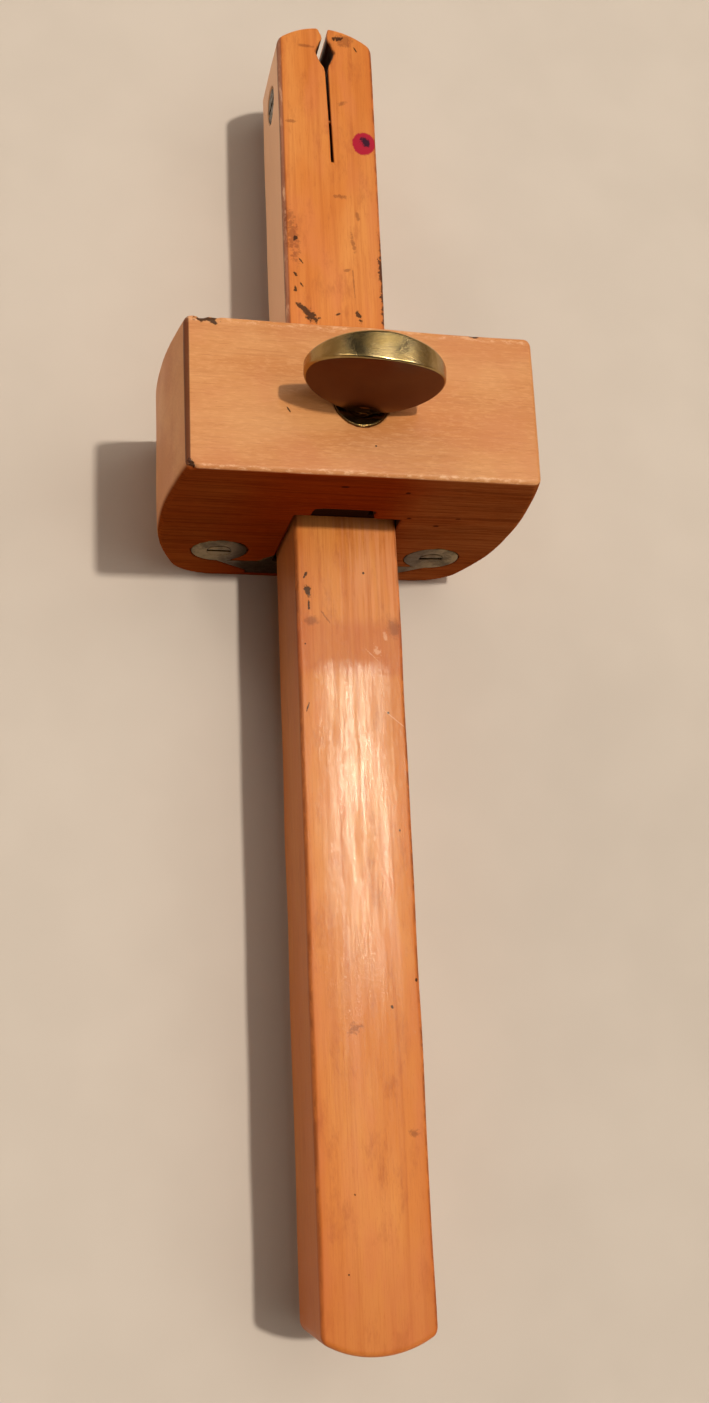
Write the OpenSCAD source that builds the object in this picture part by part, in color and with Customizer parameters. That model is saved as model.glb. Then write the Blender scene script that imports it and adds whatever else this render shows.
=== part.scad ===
// Beech pencil and marking gauge: a square stem, split at one end to grip a pencil,
// slides through a bow-sided stock that a brass thumb screw locks.
// X across the stock, Y along the stem towards the split end, Z up to the thumb screw.
// Origin: middle of the stem's length, under the middle of the stock, on the stock's foot.

/* [Stem] */
// Side of the square stem
stem_side = 19.05; // [16:0.05:22]
// Overall length of the stem
stem_length = 246.5; // [200:0.5:280]
// Height of the stem's axis above the foot of the stock
stem_axis_height = 17.8; // [16:0.1:22]
// Sideways offset of the stem from the middle of the stock
stem_offset = 0.9; // [0:0.1:1.2]
// Radius of the rounded near end, seen from above
near_end_radius = 18; // [14:0.5:40]
// Radius of the rounded split end, seen from above
split_end_radius = 14.5; // [12:0.5:40]

/* [Pencil clamp] */
// Width of the saw kerf
kerf_width = 0.8; // [0.6:0.1:1.6]
// Angle between the kerf and the stem
kerf_angle = 1.2; // [0:0.1:2]
// Length of the saw kerf from the split end
kerf_length = 30.7; // [24:0.1:36]
// Distance of the pencil seat from the split end
pencil_inset = 5.8; // [5:0.1:7]
// Width of the notched pencil seat, across the stem
pencil_seat_width = 3.6; // [2.4:0.1:4.4]
// Length of the notched pencil seat, along the stem
pencil_seat_length = 7.4; // [5:0.1:8]
// Distance of the clamp screw from the split end
clamp_inset = 12.4; // [12.2:0.1:16]
// Radius of the recess for the clamp screw's head
clamp_recess_radius = 3.8; // [3.4:0.1:4.2]
// Depth of the recess for the clamp screw's head
clamp_recess_depth = 2.6; // [2:0.1:4]

/* [Marking pin] */
// Radius of the steel pin
pin_radius = 1; // [0.7:0.05:1.3]
// Distance of the pin from the near end
pin_inset = 12; // [8:0.5:16]
// How far the pin's point stands out of the stem
pin_reach = 3.5; // [2:0.1:5]

/* [Stock] */
// Width across the flat top
stock_top_width = 60.7; // [58:0.1:62]
// Width at the widest height
stock_width = 65.8; // [65:0.1:68]
// Height of the stock
stock_height = 50.2; // [48:0.1:54]
// Thickness along the stem
stock_thickness = 27.6; // [24:0.1:32]
// Height at which the stock is widest
widest_height = 27.5; // [26:0.5:30]
// Radius of the sides below the widest height
lower_side_radius = 58; // [56:1:64]
// Radius of the two lower corners
foot_corner_radius = 5; // [3:0.5:7]
// Place of the working face along the stem
working_face = 16.5; // [0:0.5:40]

/* [Mortise] */
// Free width beside the stem
side_clearance = 0.8; // [0.2:0.1:1]
// Free height above the stem, for the pressure shoe
roof_clearance = 4.4; // [4:0.1:5]
// Width of the groove in the mortise roof
groove_width = 11.4; // [10.8:0.1:12]
// Depth of the groove in the mortise roof
groove_depth = 3.4; // [3:0.1:4]

/* [Locking screw] */
// Radius of the threaded shank
shank_radius = 3.1; // [2.8:0.05:3.2]
// Width of the oval head
head_width = 23.5; // [20:0.1:26]
// Height of the oval head
head_height = 18.8; // [16:0.1:22]
// Thickness of the head in the middle
head_thickness = 5.2; // [4:0.1:6]
// Thickness of the head at its two ends
head_end_thickness = 2.2; // [1.5:0.1:3]
// Angle of the head from square across the stock
head_angle = -4; // [-45:1:45]
// Sideways offset of the screw from the middle of the stock
screw_offset = -0.6; // [-1:0.1:1]
// Outer radius of the threaded bush
bush_radius = 5; // [4.5:0.1:5.5]
// Length of the threaded bush
bush_length = 13; // [10:0.5:14]

/* [Pressure shoe] */
// Thickness of the shoe where it lies on the stem
shoe_thickness = 1.7; // [1.2:0.1:1.7]
// Width of the rib that runs in the roof groove
shoe_rib_width = 10.8; // [8:0.1:11]
// Height of the rib above the rest of the shoe
shoe_rib_height = 2.5; // [1.5:0.1:2.6]

/* [Face plate] */
// Distance between the middles of the two discs
disc_spacing = 41.2; // [39:0.1:42]
// Radius of each disc
disc_radius = 5.4; // [5:0.1:6.5]
// Height of the discs' middles above the foot of the stock
disc_height = 12.7; // [11.5:0.1:13]
// Sideways place of the plate's middle
plate_centre = 0.4; // [0:0.1:1]
// Thickness of the plate
plate_thickness = 1.2; // [0.8:0.1:1.6]
// Radius of the middle lobe under the mortise
lobe_radius = 14.3; // [13.5:0.1:15]
// Radius of a plate screw's head
plate_screw_head = 2.4; // [2.2:0.1:3]

/* [Hidden] */
$fn = 96;
running_gap = 0.05;
over = 1;
stem_top = stem_axis_height + stem_side / 2;
stem_floor = stem_axis_height - stem_side / 2;
stem_left = stem_offset - stem_side / 2;
stem_right = stem_offset + stem_side / 2;
near_tip = -stem_length / 2;
split_tip = stem_length / 2;
pencil_y = split_tip - pencil_inset;
clamp_y = split_tip - clamp_inset;
pin_y = near_tip + pin_inset;
pin_depth = 14;
pin_point_length = 2.5;

clamp_seat = stem_left + clamp_recess_depth;
clamp_head_radius = clamp_recess_radius - 0.3;
clamp_head_height = clamp_recess_depth - 0.1;
clamp_shank_radius = 1.7;
clamp_bore_radius = clamp_shank_radius + running_gap;
clamp_bore_end = stem_right - 2;
slot_width = 0.7;
slot_depth = 0.8;

back_face = working_face + stock_thickness;
half_width = stock_width / 2;
side_inset = half_width - stock_top_width / 2;
upper_rise = stock_height - widest_height;
upper_side_radius = (upper_rise * upper_rise + side_inset * side_inset) / (2 * side_inset);
lower_centre = half_width - lower_side_radius;
corner_reach = lower_side_radius - foot_corner_radius;
corner_drop = widest_height - foot_corner_radius;
corner_x = lower_centre + sqrt(corner_reach * corner_reach - corner_drop * corner_drop);
corner_end = [corner_x - lower_centre, -corner_drop] / corner_reach;

mortise_right = stem_right + running_gap;
mortise_left = stem_left - side_clearance + running_gap;
mortise_floor = stem_floor - running_gap;
mortise_roof = stem_top + roof_clearance;
groove_roof = mortise_roof + groove_depth;
screw_y = working_face + stock_thickness / 2;
bush_bore_radius = shank_radius + 0.075;
screw_hole_radius = 3.5;
bush_floor = stock_height - bush_length;

shoe_floor = stem_top + running_gap;
shoe_top = shoe_floor + shoe_thickness;
rib_top = shoe_top + shoe_rib_height;
shoe_side_gap = 0.4;
shoe_end_gap = 1.8;
dimple_depth = 0.8;
tip_radius = 2.25;
tip_floor = rib_top - dimple_depth + running_gap;
shank_floor = rib_top + 1;
neck_radius = 2.6;
neck_floor = stock_height + 0.1;
head_middle = stock_height + 0.4 + head_height / 2;
head_belly = (head_thickness - head_end_thickness) / 2;
head_face_radius = (head_width * head_width / 4 + head_belly * head_belly) / (2 * head_belly);

plate_back = working_face + plate_thickness;
plate_margin = 1.2;
lobe_middle = 1;
bridge_toe = 12.5;
bridge_roof = 8;
plate_hole_radius = 1.4;
plate_screw_depth = 10;

wood = "peru";
stock_wood = "burlywood";
brass = "darkkhaki";
steel = "gray";

// Plan outline of a stem with both ends rounded
module stem_plan() {
    intersection() {
        translate([stem_left, near_tip]) square([stem_side, stem_length]);
        translate([stem_offset, near_tip + near_end_radius]) circle(near_end_radius);
    }
    intersection() {
        translate([stem_left, near_tip]) square([stem_side, stem_length]);
        translate([stem_offset, split_tip - split_end_radius]) circle(split_end_radius);
    }
    translate([stem_left, near_tip + near_end_radius])
        square([stem_side, stem_length - near_end_radius - split_end_radius]);
}

// A slit across the end of a screw head that faces -X
module screw_slot(radius) {
    translate([-over, -slot_width / 2, -radius - over])
        cube([over + slot_depth, slot_width, 2 * (radius + over)]);
}

module pencil_seat() {
    translate([stem_offset, pencil_y, stem_floor - over])
        linear_extrude(stem_side + 2 * over)
            polygon([[-pencil_seat_width / 2, 0], [0, -pencil_seat_length / 2],
                     [pencil_seat_width / 2, 0], [0, pencil_seat_length / 2]]);
}

module clamp_bore() {
    translate([stem_left - over, clamp_y, stem_axis_height]) rotate([0, 90, 0])
        cylinder(r = clamp_recess_radius, h = clamp_recess_depth + over);
    translate([clamp_seat - over, clamp_y, stem_axis_height]) rotate([0, 90, 0])
        cylinder(r = clamp_bore_radius, h = clamp_bore_end - clamp_seat + over);
}

module stem() {
    color(wood) difference() {
        translate([0, 0, stem_floor]) linear_extrude(stem_side) stem_plan();
        translate([stem_offset, split_tip, stem_floor - over]) rotate([0, 0, kerf_angle])
            translate([-kerf_width / 2, -kerf_length, 0])
                cube([kerf_width, kerf_length + over, stem_side + 2 * over]);
        pencil_seat();
        clamp_bore();
        translate([stem_offset, pin_y, stem_floor - over]) cylinder(r = pin_radius, h = pin_depth + over);
    }
}

module marking_pin() {
    color(steel) translate([stem_offset, pin_y, 0]) {
        translate([0, 0, stem_floor - pin_reach + pin_point_length])
            cylinder(r = pin_radius, h = pin_depth + pin_reach - pin_point_length);
        translate([0, 0, stem_floor - pin_reach])
            cylinder(r1 = 0.1, r2 = pin_radius, h = pin_point_length);
    }
}

module pencil_clamp_screw() {
    color(steel) translate([clamp_seat, clamp_y, stem_axis_height]) {
        difference() {
            translate([-clamp_head_height, 0, 0]) rotate([0, 90, 0])
                cylinder(r = clamp_head_radius, h = clamp_head_height);
            translate([-clamp_head_height, 0, 0]) screw_slot(clamp_head_radius);
        }
        rotate([0, 90, 0]) cylinder(r = clamp_shank_radius, h = clamp_bore_end - clamp_seat - 0.4);
    }
}

// One side arc of the stock, mirrored to the other side
module between_sides(radius) {
    intersection() {
        translate([half_width - radius, widest_height]) circle(radius, $fn = 240);
        translate([radius - half_width, widest_height]) circle(radius, $fn = 240);
    }
}

// The lower corner, cut back so that a small circle can round it
module corner_cut() {
    polygon([[corner_x, foot_corner_radius], [corner_x, -over],
             [half_width + over, -over],
             [corner_x, foot_corner_radius] + corner_end * 3 * foot_corner_radius]);
}

module stock_outline() {
    intersection() {
        between_sides(upper_side_radius);
        translate([-half_width, widest_height]) square([stock_width, upper_rise]);
    }
    difference() {
        intersection() {
            between_sides(lower_side_radius);
            translate([-half_width, 0]) square([stock_width, widest_height]);
        }
        corner_cut();
        mirror([1, 0]) corner_cut();
    }
    for (side = [-1, 1])
        translate([side * corner_x, foot_corner_radius]) circle(foot_corner_radius);
}

// Outline of the brass plate: two discs joined under the mortise by a lobe
module plate_outline() {
    difference() {
        union() {
            for (side = [-1, 1])
                translate([plate_centre + side * disc_spacing / 2, disc_height]) circle(disc_radius);
            translate([plate_centre, 0])
                polygon([[-bridge_toe, plate_margin], [bridge_toe, plate_margin],
                         [disc_spacing / 2, disc_height - disc_radius],
                         [disc_spacing / 2, bridge_roof], [-disc_spacing / 2, bridge_roof],
                         [-disc_spacing / 2, disc_height - disc_radius]]);
            intersection() {
                translate([plate_centre, lobe_middle]) circle(lobe_radius);
                translate([plate_centre - lobe_radius, plate_margin])
                    square([2 * lobe_radius, lobe_radius]);
            }
        }
        translate([mortise_left, mortise_floor])
            square([mortise_right - mortise_left, stem_side]);
    }
}

// Stands an outline drawn in X and Z upright, from y to y + depth
module upright(y, depth) {
    translate([0, y + depth, 0]) rotate([90, 0, 0]) linear_extrude(depth) children();
}

module plate_screw_hole(side) {
    translate([plate_centre + side * disc_spacing / 2, working_face - over, disc_height])
        rotate([-90, 0, 0]) cylinder(r = plate_hole_radius, h = plate_screw_depth + over);
}

module stock() {
    color(stock_wood) difference() {
        upright(working_face, stock_thickness) stock_outline();
        upright(working_face - over, plate_thickness + over) plate_outline();
        for (side = [-1, 1]) plate_screw_hole(side);
        translate([mortise_left, working_face - over, mortise_floor])
            cube([mortise_right - mortise_left, stock_thickness + 2 * over, mortise_roof - mortise_floor]);
        translate([screw_offset - groove_width / 2, working_face - over, mortise_roof - over])
            cube([groove_width, stock_thickness + 2 * over, groove_depth + over]);
        translate([screw_offset, screw_y, bush_floor]) cylinder(r = bush_radius, h = bush_length + over);
        translate([screw_offset, screw_y, groove_roof - over])
            cylinder(r = screw_hole_radius, h = bush_floor - groove_roof + 2 * over);
    }
}

module face_plate() {
    color(brass) difference() {
        upright(working_face, plate_thickness) plate_outline();
        for (side = [-1, 1])
            translate([plate_centre + side * disc_spacing / 2, working_face, disc_height]) rotate([-90, 0, 0])
                cylinder(r1 = plate_screw_head, r2 = plate_hole_radius, h = plate_thickness);
    }
}

// A slotted countersunk screw, flush with the plate
module plate_screw(side) {
    color(brass) difference() {
        translate([plate_centre + side * disc_spacing / 2, working_face, disc_height]) rotate([-90, 0, 0]) {
            cylinder(r1 = plate_screw_head, r2 = plate_hole_radius, h = plate_thickness);
            translate([0, 0, plate_thickness])
                cylinder(r = plate_hole_radius, h = plate_screw_depth - plate_thickness);
        }
        translate([plate_centre + side * disc_spacing / 2, working_face, disc_height])
            translate([-plate_screw_head - over, -over, -slot_width / 2])
                cube([2 * (plate_screw_head + over), over + slot_depth, slot_width]);
    }
}

module plate_screw_left() {
    plate_screw(-1);
}

module plate_screw_right() {
    plate_screw(1);
}

module threaded_bush() {
    color(brass) translate([screw_offset, screw_y, bush_floor]) difference() {
        cylinder(r = bush_radius, h = bush_length);
        translate([0, 0, -over]) cylinder(r = bush_bore_radius, h = bush_length + 2 * over);
    }
}

// Oval from the front, lens-shaped from above
module screw_head() {
    intersection() {
        translate([0, 0, head_middle]) rotate([90, 0, 0])
            scale([1, head_height / head_width, 1])
                cylinder(d = head_width, h = head_thickness + 2 * over, center = true);
        translate([0, head_face_radius - head_thickness / 2, head_middle - head_height])
            cylinder(r = head_face_radius, h = 2 * head_height, $fn = 240);
        translate([0, head_thickness / 2 - head_face_radius, head_middle - head_height])
            cylinder(r = head_face_radius, h = 2 * head_height, $fn = 240);
    }
}

module thumb_screw() {
    color(brass) translate([screw_offset, screw_y, 0]) {
        rotate([0, 0, head_angle]) screw_head();
        translate([0, 0, neck_floor]) cylinder(r = neck_radius, h = 2.4);
        translate([0, 0, shank_floor]) cylinder(r = shank_radius, h = neck_floor - shank_floor);
        translate([0, 0, tip_floor]) cylinder(r = tip_radius, h = shank_floor - tip_floor);
    }
}

module pressure_shoe() {
    shoe_length = stock_thickness - 2 * shoe_end_gap;
    color(stock_wood) difference() {
        union() {
            translate([mortise_left + shoe_side_gap, working_face + shoe_end_gap, shoe_floor])
                cube([mortise_right - mortise_left - 2 * shoe_side_gap, shoe_length, shoe_thickness]);
            translate([screw_offset - shoe_rib_width / 2, working_face + shoe_end_gap, shoe_floor])
                cube([shoe_rib_width, shoe_length, rib_top - shoe_floor]);
        }
        translate([screw_offset, screw_y, rib_top - dimple_depth])
            cylinder(r = tip_radius + running_gap, h = dimple_depth + over);
    }
}

stem();
stock();
face_plate();
plate_screw_left();
plate_screw_right();
threaded_bush();
thumb_screw();
pressure_shoe();
marking_pin();
pencil_clamp_screw();
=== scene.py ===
"""Looks of a beech pencil and marking gauge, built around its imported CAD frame."""

import math

import bmesh
import bpy
import numpy as np
from mathutils import Matrix, Vector

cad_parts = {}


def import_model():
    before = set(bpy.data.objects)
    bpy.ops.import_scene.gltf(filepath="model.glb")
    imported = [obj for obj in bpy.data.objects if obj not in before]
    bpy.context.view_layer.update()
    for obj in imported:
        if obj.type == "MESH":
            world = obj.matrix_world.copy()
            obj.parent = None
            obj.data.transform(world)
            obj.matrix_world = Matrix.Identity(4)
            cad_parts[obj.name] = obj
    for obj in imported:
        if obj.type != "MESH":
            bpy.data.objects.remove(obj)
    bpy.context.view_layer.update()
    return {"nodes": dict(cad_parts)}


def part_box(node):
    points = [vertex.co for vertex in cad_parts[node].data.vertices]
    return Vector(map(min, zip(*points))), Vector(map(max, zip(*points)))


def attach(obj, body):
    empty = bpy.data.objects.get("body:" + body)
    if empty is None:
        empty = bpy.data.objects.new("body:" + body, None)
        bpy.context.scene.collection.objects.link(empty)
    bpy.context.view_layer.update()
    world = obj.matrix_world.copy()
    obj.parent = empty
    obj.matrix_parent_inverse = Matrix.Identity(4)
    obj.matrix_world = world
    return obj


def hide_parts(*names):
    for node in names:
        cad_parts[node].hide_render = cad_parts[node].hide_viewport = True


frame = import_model()

MM = 0.001


# ---------------------------------------------------------------- sizes, in millimetres


def node_box(name):
    """Lowest and highest corner of a CAD node, in millimetres."""
    low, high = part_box(name)
    return np.array(low) / MM, np.array(high) / MM


stem_low, stem_high = node_box("stem")
stock_low, stock_high = node_box("stock")
plate_low, plate_high = node_box("face_plate")
bush_low, bush_high = node_box("threaded_bush")
screw_low, screw_high = node_box("thumb_screw")
shoe_low, shoe_high = node_box("pressure_shoe")
clamp_low, clamp_high = node_box("pencil_clamp_screw")

STEM_SIDE = stem_high[0] - stem_low[0]
STEM_X = (stem_low[0] + stem_high[0]) / 2
STEM_Z = (stem_low[2] + stem_high[2]) / 2
STEM_TOP = stem_high[2]
NEAR_TIP = stem_low[1]
SPLIT_TIP = stem_high[1]
NEAR_END_RADIUS = 18
SPLIT_END_RADIUS = 14.5
KERF_HALF = 0.4
KERF_ANGLE = math.radians(1.2)
KERF_LENGTH = 30.7
KERF_MOUTH = 2.6  # how far in from the tip the kerf flares
KERF_FLARE = 0.3
PENCIL_Y = SPLIT_TIP - 5.8
PENCIL_HALF_X, PENCIL_HALF_Y = 1.8, 3.7
PENCIL_SEAT_POWER = 1.3  # 1 is a diamond, 2 an oval
CLAMP_Y = (clamp_low[1] + clamp_high[1]) / 2
CLAMP_RECESS_RADIUS = 3.8
CLAMP_SEAT_X = stem_low[0] + 2.6
CLAMP_HEAD_RADIUS = CLAMP_RECESS_RADIUS - 0.35
CLAMP_SHANK_RADIUS = 1.7
CLAMP_BORE_RADIUS = 1.75
CLAMP_BORE_END = stem_high[0] - 2
PIN_Y = NEAR_TIP + 12
PIN_RADIUS = 1
PIN_DEPTH = 14
PIN_POINT = 0.08
PIN_TAPER = 2.5
PIN_GAP = 0.02

FACE_Y = stock_low[1]
BACK_Y = stock_high[1]
STOCK_TOP = stock_high[2]
STOCK_HALF = stock_high[0]
WIDEST_Z = 27.5
TOP_HALF = 60.7 / 2
LOWER_SIDE_RADIUS = 58
FOOT_CORNER_RADIUS = 5
SIDE_INSET = STOCK_HALF - TOP_HALF
UPPER_RISE = STOCK_TOP - WIDEST_Z
UPPER_SIDE_RADIUS = (UPPER_RISE**2 + SIDE_INSET**2) / (2 * SIDE_INSET)
MORTISE_LEFT = stem_low[0] - 0.75
MORTISE_RIGHT = stem_high[0] + 0.05
MORTISE_FLOOR = stem_low[2] - 0.05
MORTISE_ROOF = STEM_TOP + 4.4
GROOVE_WIDTH = 11.4
GROOVE_ROOF = MORTISE_ROOF + 3.4

SCREW_X = (bush_low[0] + bush_high[0]) / 2
SCREW_Y = (bush_low[1] + bush_high[1]) / 2
BUSH_RADIUS = (bush_high[0] - bush_low[0]) / 2
BUSH_BORE = 3.175
SCREW_HOLE_RADIUS = 3.5
HEAD_WIDTH = 23.5
HEAD_HEIGHT = 18.8
HEAD_THICKNESS = 5.2
HEAD_END_THICKNESS = 2.2
HEAD_ANGLE = math.radians(-4)
HEAD_Z = screw_high[2] - HEAD_HEIGHT / 2
NECK_RADIUS = 2.6
NECK_FLOOR = STOCK_TOP + 0.1
NECK_HEIGHT = 2.4
SHANK_RADIUS = 3.1
THREAD_PITCH = 1.27
THREAD_DEPTH = 0.35
TIP_RADIUS = 2.25
TIP_HEIGHT = 1.75
SHOE_RIB_HALF = 5.4
SHOE_RIB_HEIGHT = 2.5
DIMPLE_RADIUS = 2.3
DIMPLE_DEPTH = 0.8

PLATE_X = 0.4
DISC_SPACING = 41.2
DISC_RADIUS = 5.4
DISC_Z = 12.7
PLATE_THICKNESS = plate_high[1] - plate_low[1]
LOBE_RADIUS = 14.3
LOBE_Z = 1
PLATE_MARGIN = plate_low[2]
BRIDGE_TOE = 12.5
BRIDGE_ROOF = 8
PLATE_SEAM = 0.14  # gap between the plate and the wood round it
PLATE_SUNK = 0.06
PLATE_CLEARANCE = 0.12  # from the mortise, which the stem runs through
PLATE_SCREW_HEAD = 2.4
PLATE_SCREW_SHANK = 1.4
PLATE_SCREW_LENGTH = 10
SLOT_WIDTH = 0.7
SLOT_DEPTH = 0.8


# ---------------------------------------------------------------- solids as distances


def both(a, b, radius):
    """What two solids share, its edge rounded by radius."""
    inside = np.minimum(np.maximum(a, b) + radius, 0)
    return inside + np.hypot(np.maximum(a + radius, 0), np.maximum(b + radius, 0)) - radius


def without(a, b, radius):
    """Solid a with b cut away, the edge of the cut rounded by radius."""
    return both(a, -b, radius)


def either(a, b, fillet):
    """Two solids joined, with a fillet between them."""
    return -both(-a, -b, fillet)


def span(v, low, high):
    """A slab between two planes."""
    return np.abs(v - (low + high) / 2) - (high - low) / 2


def ripple(p, length, seed, waves=9):
    """A smooth random field from -1 to 1, whose bumps are about length long."""
    rng = np.random.default_rng(seed)
    total = np.zeros(len(p))
    for _ in range(waves):
        direction = rng.normal(size=3)
        direction *= 2 * math.pi / length / np.linalg.norm(direction) * rng.uniform(0.6, 1.3)
        total += np.sin(p @ direction + rng.uniform(0, 2 * math.pi))
    return total / math.sqrt(waves)


def nicks(p, places, seed):
    """Small worn hollows: (x, y, z, length along Y, radius) each; negative inside one."""
    out = np.full(len(p), 10.0)
    for x, y, z, length, radius in places:
        q = (p - np.array([x, y, z])) / np.array([1, length / (2 * radius), 1])
        out = np.minimum(out, np.linalg.norm(q, axis=1) - radius)
    return out + 0.08 * ripple(p, 1.6, seed)


def stem_distance(p):
    x, y, z = p.T
    worn = 0.75 + 0.25 * ripple(p * [1, 0.35, 1], 9, 3)
    side = np.abs(x - STEM_X) - STEM_SIDE / 2
    level = np.abs(z - STEM_Z) - STEM_SIDE / 2
    body = both(side, level, worn)
    near_y = NEAR_TIP + NEAR_END_RADIUS
    split_y = SPLIT_TIP - SPLIT_END_RADIUS
    near = np.hypot(x - STEM_X, np.minimum(y - near_y, 0)) - NEAR_END_RADIUS
    split = np.hypot(x - STEM_X, np.maximum(y - split_y, 0)) - SPLIT_END_RADIUS
    body = both(body, near, 0.9)
    body = both(body, split, 0.8)
    mouth = np.maximum(y - (SPLIT_TIP - KERF_MOUTH), 0)
    back = SPLIT_TIP - y
    middle = STEM_X + back * math.tan(KERF_ANGLE) - 0.12 * mouth
    kerf_side = np.abs(x - middle) - KERF_HALF - KERF_FLARE * mouth + 0.004 * back
    kerf = np.maximum(kerf_side, back - KERF_LENGTH - 0.5 * (x - STEM_X))
    body = without(body, kerf, 0.22)
    reach_x = (np.abs(x - STEM_X) / PENCIL_HALF_X) ** PENCIL_SEAT_POWER
    reach_y = (np.abs(y - PENCIL_Y) / PENCIL_HALF_Y) ** PENCIL_SEAT_POWER
    seat = (reach_x + reach_y) ** (1 / PENCIL_SEAT_POWER) - 1
    body = without(body, seat / math.hypot(1 / PENCIL_HALF_X, 1 / PENCIL_HALF_Y), 0.4)
    across = np.hypot(y - CLAMP_Y, z - STEM_Z)
    body = without(body, both(across - CLAMP_RECESS_RADIUS, x - CLAMP_SEAT_X, 0.1), 0.3)
    body = without(body, np.maximum(across - CLAMP_BORE_RADIUS, x - CLAMP_BORE_END), 0.1)
    pin_hole = np.maximum(np.hypot(x - STEM_X, y - PIN_Y) - PIN_RADIUS, z - stem_low[2] - PIN_DEPTH)
    body = without(body, pin_hole, 0.1)
    right = stem_high[0]
    places = [
        (right + 0.15, 65.0, STEM_TOP + 0.2, 3.2, 0.75),
        (right + 0.1, 69.2, STEM_TOP + 0.2, 2.0, 0.6),
        (right + 0.1, 72.6, STEM_TOP + 0.25, 1.6, 0.6),
        (stem_low[0] - 0.1, 61.0, STEM_TOP + 0.25, 2.4, 0.6),
        (stem_low[0] - 0.15, 5.0, STEM_TOP + 0.2, 3.0, 0.6),
        (stem_low[0] - 0.1, -28.0, STEM_TOP + 0.3, 2.2, 0.6),
        (right + 0.15, -55.0, STEM_TOP + 0.3, 2.6, 0.65),
        (right + 0.15, -93.0, STEM_TOP + 0.3, 1.8, 0.6),
        (stem_low[0] - 0.15, -84.0, STEM_TOP + 0.3, 3.4, 0.6),
    ]
    body = without(body, nicks(p, places, 5), 0.15)
    return body + 0.03 * ripple(p * [1, 0.5, 1], 14, 11) - 0.03


def stock_side(p):
    """Distance outside the curved sides of the stock."""
    x, _, z = p.T
    upper = np.hypot(np.abs(x) + UPPER_SIDE_RADIUS - STOCK_HALF, z - WIDEST_Z) - UPPER_SIDE_RADIUS
    lower = np.hypot(np.abs(x) + LOWER_SIDE_RADIUS - STOCK_HALF, z - WIDEST_Z) - LOWER_SIDE_RADIUS
    return np.where(z > WIDEST_Z, upper, lower)


def plate_shape(x, z):
    """Distance outside the outline of the brass plate."""
    discs = np.hypot(np.abs(x - PLATE_X) - DISC_SPACING / 2, z - DISC_Z) - DISC_RADIUS
    reach = np.abs(x - PLATE_X)
    slope = (DISC_Z - DISC_RADIUS - PLATE_MARGIN) / (DISC_SPACING / 2 - BRIDGE_TOE)
    toe = (slope * (reach - BRIDGE_TOE) - (z - PLATE_MARGIN)) / math.hypot(slope, 1)
    bridge = np.maximum(np.maximum(reach - DISC_SPACING / 2, span(z, PLATE_MARGIN, BRIDGE_ROOF)), toe)
    lobe = np.maximum(np.hypot(x - PLATE_X, z - LOBE_Z) - LOBE_RADIUS, PLATE_MARGIN - z)
    return np.minimum(np.minimum(discs, bridge), lobe)


def mortise(x, z):
    main = np.maximum(span(x, MORTISE_LEFT, MORTISE_RIGHT), span(z, MORTISE_FLOOR, MORTISE_ROOF))
    groove = both(np.abs(x - SCREW_X) - GROOVE_WIDTH / 2, span(z, MORTISE_FLOOR, GROOVE_ROOF), 1.6)
    return either(main, groove, 0.5)


def stock_distance(p):
    x, y, z = p.T
    worn = 0.6 + 0.15 * ripple(p, 12, 21)
    body = both(stock_side(p), -z, FOOT_CORNER_RADIUS)
    upright = 0.5 + 0.75 * np.clip((z - 15) / 10, 0, 1)
    body = both(body, span(y, FACE_Y, BACK_Y), upright)
    body = both(body, z - STOCK_TOP, worn)
    body = without(body, mortise(x, z), 0.35)
    plate = np.maximum(plate_shape(x, z), y - FACE_Y - PLATE_THICKNESS)
    body = without(body, plate, 0.12)
    shaft = np.hypot(x - SCREW_X, y - SCREW_Y)
    body = without(body, np.maximum(shaft - BUSH_RADIUS, bush_low[2] - z), 0.3)
    body = without(body, np.maximum(shaft - SCREW_HOLE_RADIUS, MORTISE_ROOF - z), 0.1)
    for side in (-1, 1):
        screw = np.hypot(x - PLATE_X - side * DISC_SPACING / 2, z - DISC_Z) - PLATE_SCREW_SHANK
        body = without(body, np.maximum(screw, y - FACE_Y - PLATE_SCREW_LENGTH), 0.1)
    places = [
        (-27.4, BACK_Y + 0.35, STOCK_TOP + 0.2, 2.0, 1.1),
        (-25.2, BACK_Y + 0.4, STOCK_TOP + 0.3, 1.6, 0.9),
        (20.0, BACK_Y + 0.4, STOCK_TOP + 0.35, 1.6, 0.9),
        (-29.8, FACE_Y - 0.2, STOCK_TOP + 0.1, 2.0, 1.1),
        (-14.0, FACE_Y - 0.35, STOCK_TOP + 0.3, 1.2, 0.8),
        (6.5, FACE_Y - 0.4, STOCK_TOP + 0.35, 1.2, 0.8),
        (21.5, FACE_Y - 0.4, STOCK_TOP + 0.35, 1.4, 0.8),
    ]
    body = without(body, nicks(p, places, 23), 0.3)
    return body + 0.04 * ripple(p, 16, 25) - 0.04


def plate_distance(p):
    x, y, z = p.T
    outline = plate_shape(x, z) + PLATE_SEAM
    outline = without(outline, mortise(x, z) - PLATE_CLEARANCE, 0.1)
    body = both(outline, span(y, FACE_Y + PLATE_SUNK, FACE_Y + PLATE_THICKNESS), 0.18)
    depth = np.clip(y - FACE_Y, 0, PLATE_THICKNESS) / PLATE_THICKNESS
    sink = PLATE_SCREW_HEAD + (PLATE_SCREW_SHANK - PLATE_SCREW_HEAD) * depth
    for side in (-1, 1):
        hole = np.hypot(x - PLATE_X - side * DISC_SPACING / 2, z - DISC_Z) - sink
        body = without(body, hole, 0.08)
    return body + 0.02 * ripple(p, 7, 31)


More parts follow.
